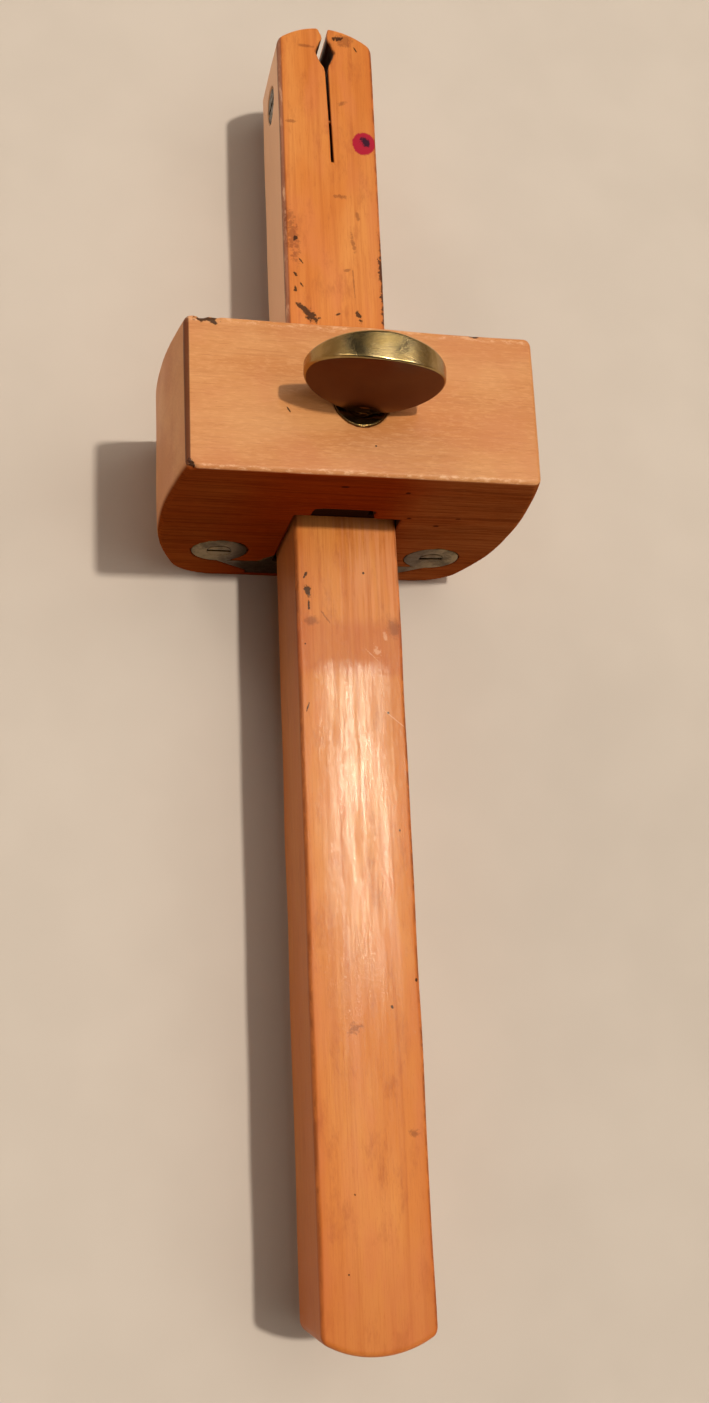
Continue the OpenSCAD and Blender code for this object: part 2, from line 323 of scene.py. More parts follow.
def plate_screw_distance(side):
    centre = PLATE_X + side * DISC_SPACING / 2
    tilt = math.radians(3 + 4 * side)

    def distance(p):
        x, y, z = p.T
        x = x - centre
        z = z - DISC_Z
        radius = np.hypot(x, z)
        depth = np.clip(y - FACE_Y, 0, PLATE_THICKNESS) / PLATE_THICKNESS
        cone = radius - PLATE_SCREW_HEAD - (PLATE_SCREW_SHANK - PLATE_SCREW_HEAD) * depth
        body = both(cone + 0.05, span(y, FACE_Y + 0.04, FACE_Y + PLATE_SCREW_LENGTH), 0.12)
        slot = np.abs(z * math.cos(tilt) - x * math.sin(tilt)) - SLOT_WIDTH / 2
        return without(body, np.maximum(slot, y - FACE_Y - SLOT_DEPTH), 0.08)

    return distance


def thumb_screw_distance(p):
    x, y, z = p.T
    x = x - SCREW_X
    y = y - SCREW_Y
    along = x * math.cos(HEAD_ANGLE) + y * math.sin(HEAD_ANGLE)
    through = y * math.cos(HEAD_ANGLE) - x * math.sin(HEAD_ANGLE)
    belly = (HEAD_THICKNESS - HEAD_END_THICKNESS) / 2
    face_radius = (HEAD_WIDTH**2 / 4 + belly**2) / (2 * belly)
    oval = np.hypot(along * HEAD_HEIGHT / HEAD_WIDTH, z - HEAD_Z) - HEAD_HEIGHT / 2
    face = np.hypot(along, np.abs(through) + face_radius - HEAD_THICKNESS / 2) - face_radius
    head = both(oval, face, 0.4 + 0.08 * ripple(p, 8, 41))
    radius = np.hypot(x, y)
    neck = both(radius - NECK_RADIUS, span(z, NECK_FLOOR, NECK_FLOOR + NECK_HEIGHT), 0.25)
    body = either(head, neck, 0.3)
    turn = np.arctan2(y, x) / (2 * math.pi)
    groove = THREAD_DEPTH * np.abs((z / THREAD_PITCH - turn) % 1 - 0.5) * 2
    tip_top = screw_low[2] + TIP_HEIGHT
    shank = both(radius - SHANK_RADIUS + groove, span(z, tip_top, NECK_FLOOR + 0.5), 0.1)
    tip = both(radius - TIP_RADIUS, span(z, screw_low[2], tip_top + 0.5), 0.25)
    body = np.minimum(body, np.minimum(shank, tip))
    return body + 0.025 * ripple(p, 9, 43) * (z > NECK_FLOOR)


def bush_distance(p):
    x, y, z = p.T
    radius = np.hypot(x - SCREW_X, y - SCREW_Y)
    body = both(radius - BUSH_RADIUS + 0.1, span(z, bush_low[2], bush_high[2]), 0.25)
    return without(body, radius - BUSH_BORE, 0.3)


def shoe_distance(p):
    x, y, z = p.T
    rib_low = shoe_high[2] - SHOE_RIB_HEIGHT
    slab = np.maximum(span(x, shoe_low[0], shoe_high[0]), span(z, shoe_low[2], rib_low))
    rib = both(np.abs(x - SCREW_X) - SHOE_RIB_HALF, span(z, shoe_low[2], shoe_high[2]), 1.0)
    body = both(np.minimum(slab, rib), span(y, shoe_low[1], shoe_high[1]), 0.3)
    shaft = np.hypot(x - SCREW_X, y - SCREW_Y)
    dimple = np.maximum(shaft - DIMPLE_RADIUS, shoe_high[2] - DIMPLE_DEPTH - z)
    return without(body, dimple, 0.15) + 0.02 * ripple(p, 6, 51)


def clamp_screw_distance(p):
    x, y, z = p.T
    radius = np.hypot(y - CLAMP_Y, z - STEM_Z)
    head = both(radius - CLAMP_HEAD_RADIUS, span(x, clamp_low[0], CLAMP_SEAT_X), 0.3)
    shank = both(radius - CLAMP_SHANK_RADIUS, span(x, CLAMP_SEAT_X - 0.5, clamp_high[0]), 0.2)
    slot = np.maximum(np.abs(y - CLAMP_Y) - SLOT_WIDTH / 2, x - clamp_low[0] - SLOT_DEPTH)
    return without(np.minimum(head, shank), slot, 0.08)


# ---------------------------------------------------------------- meshes


def slopes(p, distance, step=0.02):
    """How fast the distance grows along each axis."""
    out = np.empty_like(p)
    for axis in range(3):
        offset = np.zeros(3)
        offset[axis] = step
        out[:, axis] = (distance(p + offset) - distance(p - offset)) / (2 * step)
    return out


def settle(p, distance, rounds):
    """Moves points onto the surface where the distance is zero."""
    for _ in range(rounds):
        slope = slopes(p, distance)
        size = np.maximum((slope**2).sum(1), 0.2)
        shift = np.clip(distance(p) / size, -0.6, 0.6)
        p = p - shift[:, None] * slope
    return p


def link(name, data):
    """A new object in the scene, made of a mesh, a lamp or a camera."""
    thing = bpy.data.objects.new(name, data)
    bpy.context.scene.collection.objects.link(thing)
    return thing


def applied(piece):
    """Replaces a piece's mesh by what its modifiers make of it."""
    graph = bpy.context.evaluated_depsgraph_get()
    mesh = bpy.data.meshes.new_from_object(piece.evaluated_get(graph))
    piece.modifiers.clear()
    piece.data = mesh
    return mesh


def read_points(mesh):
    p = np.empty(len(mesh.vertices) * 3)
    mesh.vertices.foreach_get("co", p)
    return p.reshape(-1, 3) / MM


def write_points(mesh, p):
    mesh.vertices.foreach_set("co", (p * MM).ravel())
    mesh.update()


def welded(mesh):
    """A copy with the corners that share a place joined."""
    work = bmesh.new()
    work.from_mesh(mesh)
    bmesh.ops.remove_doubles(work, verts=work.verts, dist=1e-6)
    out = bpy.data.meshes.new("welded")
    work.to_mesh(out)
    work.free()
    return out


def carve(name, nodes, body, distance, voxel, keep, material):
    """A fine mesh that starts from a CAD node and settles on the shape that distance gives."""
    piece = link(name, welded(frame["nodes"][nodes[0]].data))
    voxels = piece.modifiers.new("voxels", "REMESH")
    voxels.mode = "VOXEL"
    voxels.voxel_size = voxel * MM
    mesh = applied(piece)
    write_points(mesh, settle(read_points(mesh), distance, 4))
    thinner = piece.modifiers.new("thinner", "DECIMATE")
    thinner.ratio = keep
    mesh = applied(piece)
    p = settle(read_points(mesh), distance, 2)
    write_points(mesh, p)
    mesh.shade_smooth()
    normals = slopes(p, distance, 0.04)
    normals /= np.maximum(np.linalg.norm(normals, axis=1), 1e-6)[:, None]
    mesh.normals_split_custom_set_from_vertices(normals.tolist())
    mesh.materials.clear()
    mesh.materials.append(material)
    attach(piece, body)
    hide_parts(*nodes)
    return piece


# ---------------------------------------------------------------- materials


# The mix node's colour sockets share their names with others, so they are taken by place.
FIRST_COLOUR, SECOND_COLOUR, MIXED_COLOUR = 6, 7, 2
RAGGED_NOISE = (1.3, 1.3, 1.3)


class Shader:
    """A material's node tree, with short calls for the nodes used here."""

    def __init__(self, name):
        self.material = bpy.data.materials.new(name)
        self.material.use_nodes = True
        self.tree = self.material.node_tree
        self.tree.nodes.clear()
        self.surface = self.tree.nodes.new("ShaderNodeBsdfPrincipled")
        output = self.tree.nodes.new("ShaderNodeOutputMaterial")
        self.tree.links.new(self.surface.outputs[0], output.inputs["Surface"])
        place = self.tree.nodes.new("ShaderNodeTexCoord").outputs["Object"]
        self.place = self.vector("SCALE", place, scale=1 / MM)

    def put(self, socket, value):
        if isinstance(value, bpy.types.NodeSocket):
            self.tree.links.new(value, socket)
        else:
            socket.default_value = value

    def vector(self, operation, a, b=None, scale=None):
        node = self.tree.nodes.new("ShaderNodeVectorMath")
        node.operation = operation
        self.put(node.inputs[0], a)
        if b is not None:
            self.put(node.inputs[1], b)
        if scale is not None:
            node.inputs["Scale"].default_value = scale
        return node.outputs["Value" if operation == "LENGTH" else "Vector"]

    def math(self, operation, a, b=0.0):
        node = self.tree.nodes.new("ShaderNodeMath")
        node.operation = operation
        self.put(node.inputs[0], a)
        self.put(node.inputs[1], b)
        return node.outputs[0]

    def times(self, first, *others):
        for other in others:
            first = self.math("MULTIPLY", first, other)
        return first

    def plus(self, a, b):
        return self.math("ADD", a, b)

    def minus(self, a, b):
        return self.math("SUBTRACT", a, b)

    def gap(self, a, b):
        """How far apart two values are."""
        return self.math("ABSOLUTE", self.minus(a, b))

    def axes(self):
        node = self.tree.nodes.new("ShaderNodeSeparateXYZ")
        self.put(node.inputs[0], self.place)
        return node.outputs

    def noise(self, stretch, detail=3.0, roughness=0.5, distortion=0.0, shift=(0, 0, 0)):
        """Noise with about stretch bumps per millimetre along each axis."""
        moved = self.vector("ADD", self.place, shift)
        node = self.tree.nodes.new("ShaderNodeTexNoise")
        self.put(node.inputs["Vector"], self.vector("MULTIPLY", moved, stretch))
        node.inputs["Scale"].default_value = 1
        node.inputs["Detail"].default_value = detail
        node.inputs["Roughness"].default_value = roughness
        node.inputs["Distortion"].default_value = distortion
        return node.outputs["Fac"]

    def cells(self, stretch, shift=(0, 0, 0)):
        """Distance to the nearest of many scattered points."""
        moved = self.vector("ADD", self.place, shift)
        node = self.tree.nodes.new("ShaderNodeTexVoronoi")
        self.put(node.inputs["Vector"], self.vector("MULTIPLY", moved, stretch))
        node.inputs["Scale"].default_value = 1
        return node.outputs["Distance"]

    def fit(self, value, low, high, out_low=0.0, out_high=1.0):
        node = self.tree.nodes.new("ShaderNodeMapRange")
        node.interpolation_type = "SMOOTHSTEP"
        self.put(node.inputs["Value"], value)
        ends = {"From Min": low, "From Max": high, "To Min": out_low, "To Max": out_high}
        for name, number in ends.items():
            node.inputs[name].default_value = number
        return node.outputs["Result"]

    def mix(self, share, a, b, blend="MIX"):
        node = self.tree.nodes.new("ShaderNodeMix")
        node.data_type = "RGBA"
        node.blend_type = blend
        self.put(node.inputs["Factor"], share)
        self.put(node.inputs[FIRST_COLOUR], a)
        self.put(node.inputs[SECOND_COLOUR], b)
        return node.outputs[MIXED_COLOUR]

    def spot(self, x, y, half_x, half_y, angle=0.0, ragged=0.35, soft=0.25):
        """A ragged patch on a level face, 1 inside and 0 outside."""
        moved = self.vector("SUBTRACT", self.place, (x, y, 0))
        turn = self.tree.nodes.new("ShaderNodeVectorRotate")
        turn.rotation_type = "Z_AXIS"
        self.put(turn.inputs["Vector"], moved)
        turn.inputs["Angle"].default_value = -math.radians(angle)
        flat = self.vector("MULTIPLY", turn.outputs[0], (1 / half_x, 1 / half_y, 0))
        reach = self.vector("LENGTH", flat)
        rough = self.noise(RAGGED_NOISE, 4, 0.6, shift=(x, y, 0))
        edge = self.plus(reach, self.times(self.minus(rough, 0.5), 5 * ragged))
        return self.fit(edge, 1 - soft, 1 + soft, 1.0, 0.0)

    def spot_in_space(self, place, size):
        """A ragged patch round a place in space, 1 inside and 0 outside."""
        moved = self.vector("SUBTRACT", self.place, place)
        reach = self.vector("LENGTH", self.vector("DIVIDE", moved, size))
        rough = self.noise(RAGGED_NOISE, 4, 0.6)
        return self.fit(self.plus(reach, self.times(rough, 0.8)), 1.1, 1.6, 1.0, 0.0)

    def strongest(self, masks):
        out = masks[0]
        for mask in masks[1:]:
            out = self.math("MAXIMUM", out, mask)
        return out

    def bump(self, height, depth):
        node = self.tree.nodes.new("ShaderNodeBump")
        node.inputs["Strength"].default_value = 1
        node.inputs["Distance"].default_value = depth * MM
        self.put(node.inputs["Height"], height)
        return node.outputs[0]

    def finish(self, **values):
        for name, value in values.items():
            self.put(self.surface.inputs[name.replace("_", " ")], value)
        return self.material


def rgb(red, green, blue):
    """Linear colour from display values of 0 to 255."""
    def linear(v):
        v = v / 255
        return v / 12.92 if v <= 0.04045 else ((v + 0.055) / 1.055) ** 2.4
    return (linear(red), linear(green), linear(blue), 1.0)


def along_grain(axis, across, along):
    """Stretch values with the grain along one axis."""
    return tuple(along if i == axis else across for i in range(3))


def wood_base(s, axis, pale, middle, deep, shift, streaky=0.36):
    """Varnished beech: broad tone, growth streaks, fibres and ray flecks."""
    tone = s.noise(along_grain(axis, 0.11, 0.03), 3, 0.5, 0.3, shift)
    streaks = s.noise(along_grain(axis, 0.9, 0.02), 4, 0.6, 0.3, shift)
    fibre = s.noise(along_grain(axis, 4.5, 0.22), 5, 0.65, 0.0, shift)
    fleck = s.cells(along_grain(axis, 2.2, 0.55), shift)
    colour = s.mix(s.fit(tone, 0.32, 0.68), middle, pale)
    colour = s.mix(s.fit(streaks, 0.42, 0.72, 0.0, streaky), colour, deep)
    colour = s.mix(s.fit(fibre, 0.48, 0.78, 0.0, 0.36), colour, deep)
    colour = s.mix(s.fit(fleck, 0.0, 0.2, 0.3, 0.0), colour, deep)
    return colour, fibre


def worn_arris(s, distances, reach):
    """1 on the edges where two of the faces meet, 0 away from them."""
    pairs = []
    for i, a in enumerate(distances):
        for b in distances[i + 1:]:
            pairs.append(s.math("MINIMUM", a, b))
    nearest = s.strongest(pairs)
    return s.fit(nearest, -reach, -0.1)


def speckle(s, colour, marks, mask, tint, strength):
    """Lays ragged marks of one colour over another, on the faces that mask picks."""
    stain = s.times(s.strongest(marks), mask)
    return s.mix(s.times(stain, strength), colour, tint), stain


STEM_STAINS = [  # x, y, half width, half length, angle, raggedness: worn through to the dark
    (-5.5, 60.2, 0.55, 1.5, 50, 0.5),
    (-3.9, 58.7, 0.9, 1.5, 45, 0.6),
    (1.3, 59.5, 0.25, 0.6, -70, 0.5),
    (5.3, 59.4, 0.5, 0.9, 20, 0.8),
    (-6.5, 75.0, 0.45, 0.35, 30, 0.9),
    (-5.5, 70.2, 0.14, 0.7, 35, 0.6),
    (-6.7, 67.4, 0.28, 0.4, 10, 0.9),
    (-6.8, 64.2, 0.22, 0.5, 5, 0.9),
    (-5.6, 65.2, 0.16, 0.45, 30, 0.8),
    (-6.8, 7.1, 0.25, 0.6, -30, 0.6),
    (-6.6, 3.9, 0.5, 1.0, 10, 0.6),
    (-6.4, 1.5, 0.15, 0.9, 0, 0.7),
    (3.8, 7.7, 0.2, 0.25, 0, 0.3),
    (7.2, -18.3, 0.22, 0.25, 0, 0.3),
    (8.2, -39.3, 0.16, 0.2, 0, 0.3),
    (5.3, -69.2, 0.22, 0.28, 0, 0.4),
    (-7.3, -5.9, 0.16, 0.18, 0, 0.3),
    (-7.2, -17.4, 0.12, 0.7, -20, 0.6),
    (9.8, -64.8, 0.2, 0.25, 0, 0.4),
    (-2.3, -98.7, 0.12, 0.2, 30, 0.4),
    (-3.8, -110.7, 0.14, 0.18, 0, 0.4),
    (3.6, 121.0, 0.9, 0.5, 0, 0.9),
    (7.1, 118.8, 0.15, 0.6, 30, 0.5),
]
STEM_SMUDGES = [  # fainter grey-brown marks
    (-3.1, 118.4, 1.5, 0.3, 0, 0.5),
    (4.9, 120.6, 1.5, 1.2, 0, 0.6),
    (3.8, 105.8, 0.8, 0.4, 20, 0.7),
    (-6.5, 100.8, 1.0, 0.3, 5, 0.6),
    (2.9, 84.9, 1.2, 0.35, 0, 0.7),
    (5.9, 81.0, 0.3, 1.0, 10, 0.6),
    (-7.2, 76.0, 1.0, 4.5, 8, 0.9),
    (4.9, 74.6, 0.3, 1.6, 5, 0.8),
    (4.6, 66.2, 0.14, 3.0, 2, 0.5),
    (3.3, 68.9, 0.5, 0.25, 10, 0.7),
    (-1.2, -72.6, 0.9, 0.7, 30, 0.8),
    (8.0, -89.6, 0.9, 0.5, 0, 0.7),
    (-3.6, -0.6, 0.13, 1.3, 35, 0.6),
    (-6.0, -1.6, 1.2, 0.7, 10, 0.35),
    (9.1, -2.6, 1.1, 1.5, 0, 0.35),
]
STEM_SCRATCHES = [  # pale scuffs in the varnish
    (7.4, -4.4, 0.3, 0.7, 10, 0.7),
    (4.6, -7.6, 0.1, 1.3, 45, 0.5),
    (5.7, -7.0, 0.6, 0.8, 30, 1.0),
    (8.4, -19.5, 0.09, 2.2, 50, 0.4),
]


def stem_wood():
    s = Shader("stem_beech")
    pale, middle, deep = rgb(212, 136, 68), rgb(203, 119, 51), rgb(170, 80, 28)
    colour, fibre = wood_base(s, 1, pale, middle, deep, (3, 7, 1))
    x, y, z = s.axes()
    side = s.minus(s.gap(x, STEM_X), STEM_SIDE / 2)
    level = s.minus(s.gap(z, STEM_Z), STEM_SIDE / 2)
    top = s.fit(z, STEM_TOP - 0.8, STEM_TOP - 0.5)
    # redder and dirtier patches, darker towards the edges
    blush = s.fit(s.noise((0.2, 0.06, 0.2), 3, 0.5, shift=(5, 5, 5)), 0.45, 0.7, 0.0, 0.5)
    colour = s.mix(blush, colour, rgb(205, 119, 68))
    grime = s.fit(s.noise((0.3, 0.1, 0.3), 5, 0.7, shift=(2, 8, 3)), 0.5, 0.75, 0.0, 0.5)
    colour = s.mix(grime, colour, rgb(160, 78, 36))
    rim = s.fit(side, -2.2, -0.2, 0.0, 0.35)
    colour = s.mix(s.times(rim, top), colour, rgb(184, 88, 34))
    # dark, broken arrises
    arris = worn_arris(s, [side, level], 0.75)
    patchy = s.fit(s.noise((0.9, 0.3, 0.9), 4, 0.7, shift=(9, 2, 4)), 0.38, 0.56)
    colour = s.mix(s.times(arris, patchy, 0.75), colour, rgb(88, 34, 12))
    # left side: painted light makes it pale beyond the stock, painted shade darkens the near half; a dark
    # line runs along its top
    left = s.times(s.fit(x, -7.9, -8.3), s.fit(y, BACK_Y - 6, BACK_Y + 20))
    shade = s.times(s.fit(x, -7.9, -8.4), s.fit(y, FACE_Y + 6, FACE_Y))
    colour = s.mix(s.times(shade, 0.45), colour, rgb(160, 88, 40))
    colour = s.mix(s.times(left, 0.8), colour, rgb(236, 190, 152))
    line = s.times(s.fit(x, -7.7, -8.1), s.fit(z, STEM_TOP - 1.4, STEM_TOP - 1.0))
    line = s.times(line, s.fit(y, BACK_Y - 8, BACK_Y - 4, 0.3, 1.0))
    broken = s.fit(s.noise((0.8, 0.16, 0.8), 4, 0.7, shift=(6, 1, 4)), 0.3, 0.5, 0.25, 0.8)
    colour = s.mix(s.times(line, broken), colour, rgb(120, 52, 24))
    # bruised right arris, just beyond the stock
    nick = s.times(s.spot(10.35, 66.5, 0.5, 8.5, 0, 1.1, 0.2), top)
    colour = s.mix(s.times(nick, 0.85), colour, rgb(50, 22, 12))
    # paler wood by the stock, a dark band after it, a darker near end
    rays = s.fit(s.noise((1.1, 0.05, 1.1), 3, 0.6, shift=(1, 1, 7)), 0.4, 0.65)
    blond = s.times(s.fit(y, -8.0, 2.0), s.fit(x, -5.0, 0.0), s.fit(y, 20.0, 16.0))
    colour = s.mix(s.times(blond, rays, 0.4), colour, rgb(222, 150, 100))
    band = s.times(s.fit(y, 0.0, -3.0), s.fit(y, -12.5, -10.0))
    colour = s.mix(s.times(band, top, 0.38), colour, rgb(176, 84, 40))
    colour = s.mix(s.fit(y, -95.0, NEAR_TIP, 0.0, 0.42), colour, rgb(176, 88, 34))
    # smudges, stains and scratches
    smudges = [s.spot(*mark, 0.5) for mark in STEM_SMUDGES]
    colour, _ = speckle(s, colour, smudges, top, rgb(108, 48, 24), 0.5)
    stains = [s.spot(*mark) for mark in STEM_STAINS]
    colour, pits = speckle(s, colour, stains, top, rgb(38, 22, 9), 0.88)
    scratches = [s.spot(*mark, 0.5) for mark in STEM_SCRATCHES]
    colour, _ = speckle(s, colour, scratches, top, rgb(236, 188, 150), 0.4)
    # red paint spot with a dark middle
    paint = s.times(s.spot(7.9, 97.2, 2.3, 2.55, -15, 0.06, 0.06), s.fit(z, 26.0, 26.2))
    colour = s.mix(paint, colour, rgb(164, 22, 46))
    smudge = s.times(s.spot(8.2, 97.8, 0.8, 1.15, 35, 0.45, 0.3), paint)
    colour = s.mix(s.times(smudge, 0.95), colour, rgb(40, 16, 38))
    # dark graphite stain round the pencil seat, and painted shade down inside the seat and kerf
    reach_x = s.math("DIVIDE", s.gap(x, STEM_X), PENCIL_HALF_X)
    reach_y = s.math("DIVIDE", s.gap(y, PENCIL_Y), PENCIL_HALF_Y)
    seat = s.plus(reach_x, reach_y)
    smut = s.noise((1.1, 1.1, 1.1), 4, 0.6)
    rubbed = s.fit(s.plus(seat, s.times(smut, 0.8)), 1.35, 1.7, 0.8, 0.0)
    kerf_shade = s.times(s.fit(reach_x, 1.05, 1.2, 1.0, 0.0), s.fit(z, STEM_TOP - 0.25, STEM_TOP - 0.8))
    kerf_shade = s.times(kerf_shade, s.fit(y, SPLIT_TIP - 33, SPLIT_TIP - 32), s.fit(y, SPLIT_TIP - 0.9, SPLIT_TIP - 1.6))
    inside = s.math("MAXIMUM", s.times(rubbed, top), kerf_shade)
    colour = s.mix(s.times(inside, 0.9), colour, rgb(58, 30, 22))
    # relief of the wood, and of the varnish over it
    ridges = s.noise((1.8, 0.07, 1.8), 4, 0.6, 0.2, (4, 4, 4))
    relief = s.bump(s.plus(fibre, s.times(pits, -2.0)), 0.025)
    crackle = s.noise((1.6, 2.6, 1.6), 3, 0.6, 0.6)
    coat_relief = s.bump(s.plus(ridges, s.times(crackle, 0.22)), 0.09)
    gloss = s.fit(s.noise((0.5, 0.08, 0.5), 3, 0.6, shift=(8, 1, 1)), 0.35, 0.65, 0.13, 0.24)
    # thick, shiny varnish on the middle of the top
    thick = s.times(s.fit(y, -8.0, -11.0), s.fit(y, -112.0, -44.0))
    across = s.times(s.fit(x, -6.5, -1.5), s.fit(x, 8.8, 5.0))
    ragged = s.fit(s.noise((0.8, 0.045, 0.8), 4, 0.7, shift=(2, 6, 8)), 0.36, 0.6, 0.25, 1.0)
    thick = s.times(thick, across, ragged, top)
    varnish = s.plus(s.times(thick, 0.75), 0.12)
    return s.finish(
        Base_Color=colour, Roughness=0.5, Specular_IOR_Level=0.12, Coat_Weight=varnish,
        Coat_Roughness=gloss, Normal=relief, Coat_Normal=coat_relief,
    )


FACE_PORES = [  # small dark pores on the working face: place, size
    ((11.4, FACE_Y, 32.8), (0.5, 2, 0.35)),
    ((17.3, FACE_Y, 29.6), (0.6, 2, 0.4)),
    ((20.4, FACE_Y, 33.4), (0.5, 2, 0.3)),
    ((8.4, FACE_Y, 43.9), (0.5, 2, 0.4)),
    ((-3.0, FACE_Y, 45.2), (0.8, 2, 0.35)),
]
STOCK_STAINS = [
    (1.5, 22.0, 0.2, 0.2, 0, 0.4),
    (-13.2, 27.7, 0.12, 0.5, 30, 0.4),
    (-29.6, 17.3, 0.35, 0.6, 30, 0.8),
    (-27.0, 43.5, 1.9, 0.5, 4, 0.7),
    (-25.6, 43.0, 0.7, 0.5, -20, 0.5),
    (20.0, 43.9, 0.9, 0.3, 0, 0.7),
]


def stock_wood():
    s = Shader("stock_beech")
    pale, middle, deep = rgb(206, 143, 88), rgb(192, 122, 66), rgb(156, 84, 38)
    colour, fibre = wood_base(s, 0, pale, middle, deep, (11, 3, 5), 0.14)
    x, y, z = s.axes()
    # pale flecks and redder patches
    dashes = s.fit(s.noise((0.7, 3.2, 3.2), 3, 0.6, shift=(4, 4, 4)), 0.46, 0.7, 0.0, 0.32)
    colour = s.mix(dashes, colour, rgb(224, 164, 108))
    blush = s.fit(s.noise((0.08, 0.08, 0.08), 3, 0.5, shift=(1, 6, 2)), 0.42, 0.66, 0.0, 0.4)
    colour = s.mix(blush, colour, rgb(195, 119, 74))
    top = s.fit(z, STOCK_TOP - 0.9, STOCK_TOP - 0.6)
    # dark left arris of the top
    roof = s.minus(z, STOCK_TOP)
    flank = s.minus(s.gap(x, 0.0), TOP_HALF)
    lower = s.times(s.minus(STOCK_TOP, z), SIDE_INSET / UPPER_RISE)
    flank = s.minus(flank, lower)
    edge = s.times(s.fit(flank, -0.72, -0.5), s.fit(x, -10, -20))
    edge = s.times(edge, s.fit(roof, -0.85, -0.5))
    colour = s.mix(s.times(edge, 0.9), colour, rgb(84, 34, 14))
    # pale chips and painted highlights along the front and back arrises
    front = s.times(s.fit(y, FACE_Y + 1.1, FACE_Y + 0.5), s.fit(roof, -0.5, -0.25))
    back = s.times(s.fit(y, BACK_Y - 1.6, BACK_Y - 0.8), s.fit(roof, -0.8, -0.4))
    chips_and_highlights = s.fit(s.noise((0.7, 1.5, 1.5), 4, 0.7, shift=(3, 2, 4)), 0.48, 0.66, 0.05, 0.7)
    edge_chips_and_highlight = s.math("MAXIMUM", front, s.times(back, 0.7))
    colour = s.mix(s.times(edge_chips_and_highlight, chips_and_highlights), colour, rgb(238, 188, 146))
    # near face: painted shade, reddest in the middle with painted light reflected from the stem, browner to
    # the sides; banded, with pores
    face_shade = s.mix(s.fit(x, 4.0, 16.0), (0.44, 0.15, 0.05, 1), (0.56, 0.38, 0.28, 1))
    face_shade = s.mix(s.fit(x, -12.0, -26.0), face_shade, (0.46, 0.24, 0.12, 1))
    near = s.times(s.fit(y, FACE_Y + 0.9, FACE_Y + 0.3), s.fit(z, STOCK_TOP - 0.2, STOCK_TOP - 0.6))
    bands = s.fit(s.noise((0.05, 2.2, 2.2), 4, 0.65, 0.2, (7, 7, 7)), 0.42, 0.66, 0.0, 0.5)
    face_shade = s.mix(bands, face_shade, (0.16, 0.05, 0.02, 1))
    colour = s.mix(near, colour, face_shade, "MULTIPLY")
    gaps = s.strongest([s.spot_in_space(place, size) for place, size in FACE_PORES])
    colour = s.mix(s.times(gaps, near, 0.8), colour, rgb(40, 14, 6))
    # painted shade inside the mortise
    mortise_shade = s.fit(s.gap(x, STEM_X), 9.9, 10.5, 1.0, 0.0)
    mortise_shade = s.times(mortise_shade, s.fit(z, GROOVE_ROOF + 0.6, GROOVE_ROOF + 0.2))
    mortise_shade = s.times(mortise_shade, s.fit(y, FACE_Y + 0.25, FACE_Y + 0.6))
    colour = s.mix(s.times(mortise_shade, 0.9), colour, rgb(40, 16, 8))
    stains = [s.spot(*mark) for mark in STOCK_STAINS]
    colour, pits = speckle(s, colour, stains, top, rgb(40, 20, 12), 0.9)
    ridges = s.noise((0.3, 1.6, 1.6), 4, 0.6, 0.2, (4, 4, 4))
    relief = s.bump(s.plus(fibre, s.times(pits, -2.0)), 0.025)
    coat_relief = s.bump(ridges, 0.05)
    far = s.minus(1.0, near)
    return s.finish(
        Base_Color=colour, Roughness=0.5, Specular_IOR_Level=s.times(far, 0.12),
        Coat_Weight=s.times(far, 0.14), Coat_Roughness=0.28, Normal=relief, Coat_Normal=coat_relief,
    )


def shoe_wood():
    # painted shade: the shoe's beech is coloured as dark as the shade in the mortise groove round it
    s = Shader("shoe_wood")
    colour, fibre = wood_base(s, 1, rgb(46, 21, 10), rgb(36, 16, 8), rgb(24, 10, 5), (1, 9, 6))
    return s.finish(Base_Color=colour, Roughness=0.6, Specular_IOR_Level=0.05, Normal=s.bump(fibre, 0.03))


def brass(name, bright, dull, rough_low, rough_high, shift):
    """Patchy brass: its shader, colour, roughness and fine noise."""
    s = Shader(name)
    patch = s.noise((0.35, 0.35, 0.35), 5, 0.65, 0.3, shift)
    fine = s.noise((4, 4, 4), 4, 0.6, 0.0, shift)
    share = s.fit(s.plus(s.times(patch, 0.8), s.times(fine, 0.2)), 0.4, 0.62)
    colour = s.mix(share, bright, dull)
    rough = s.fit(patch, 0.35, 0.65, rough_low, rough_high)
    return s, colour, rough, fine


def plate_brass():
    """Dull, and darker towards the stem."""
    bright, dull = rgb(132, 112, 74), rgb(84, 69, 43)
    s, colour, rough, fine = brass("plate_brass", bright, dull, 0.36, 0.5, (2, 2, 2))
    x, _, _ = s.axes()
    reach = s.gap(x, PLATE_X)
    colour = s.mix(s.fit(reach, 23.0, 16.0, 0.0, 0.75), colour, rgb(66, 42, 22))
    return s.finish(Base_Color=colour, Metallic=1.0, Roughness=rough, Normal=s.bump(fine, 0.015))


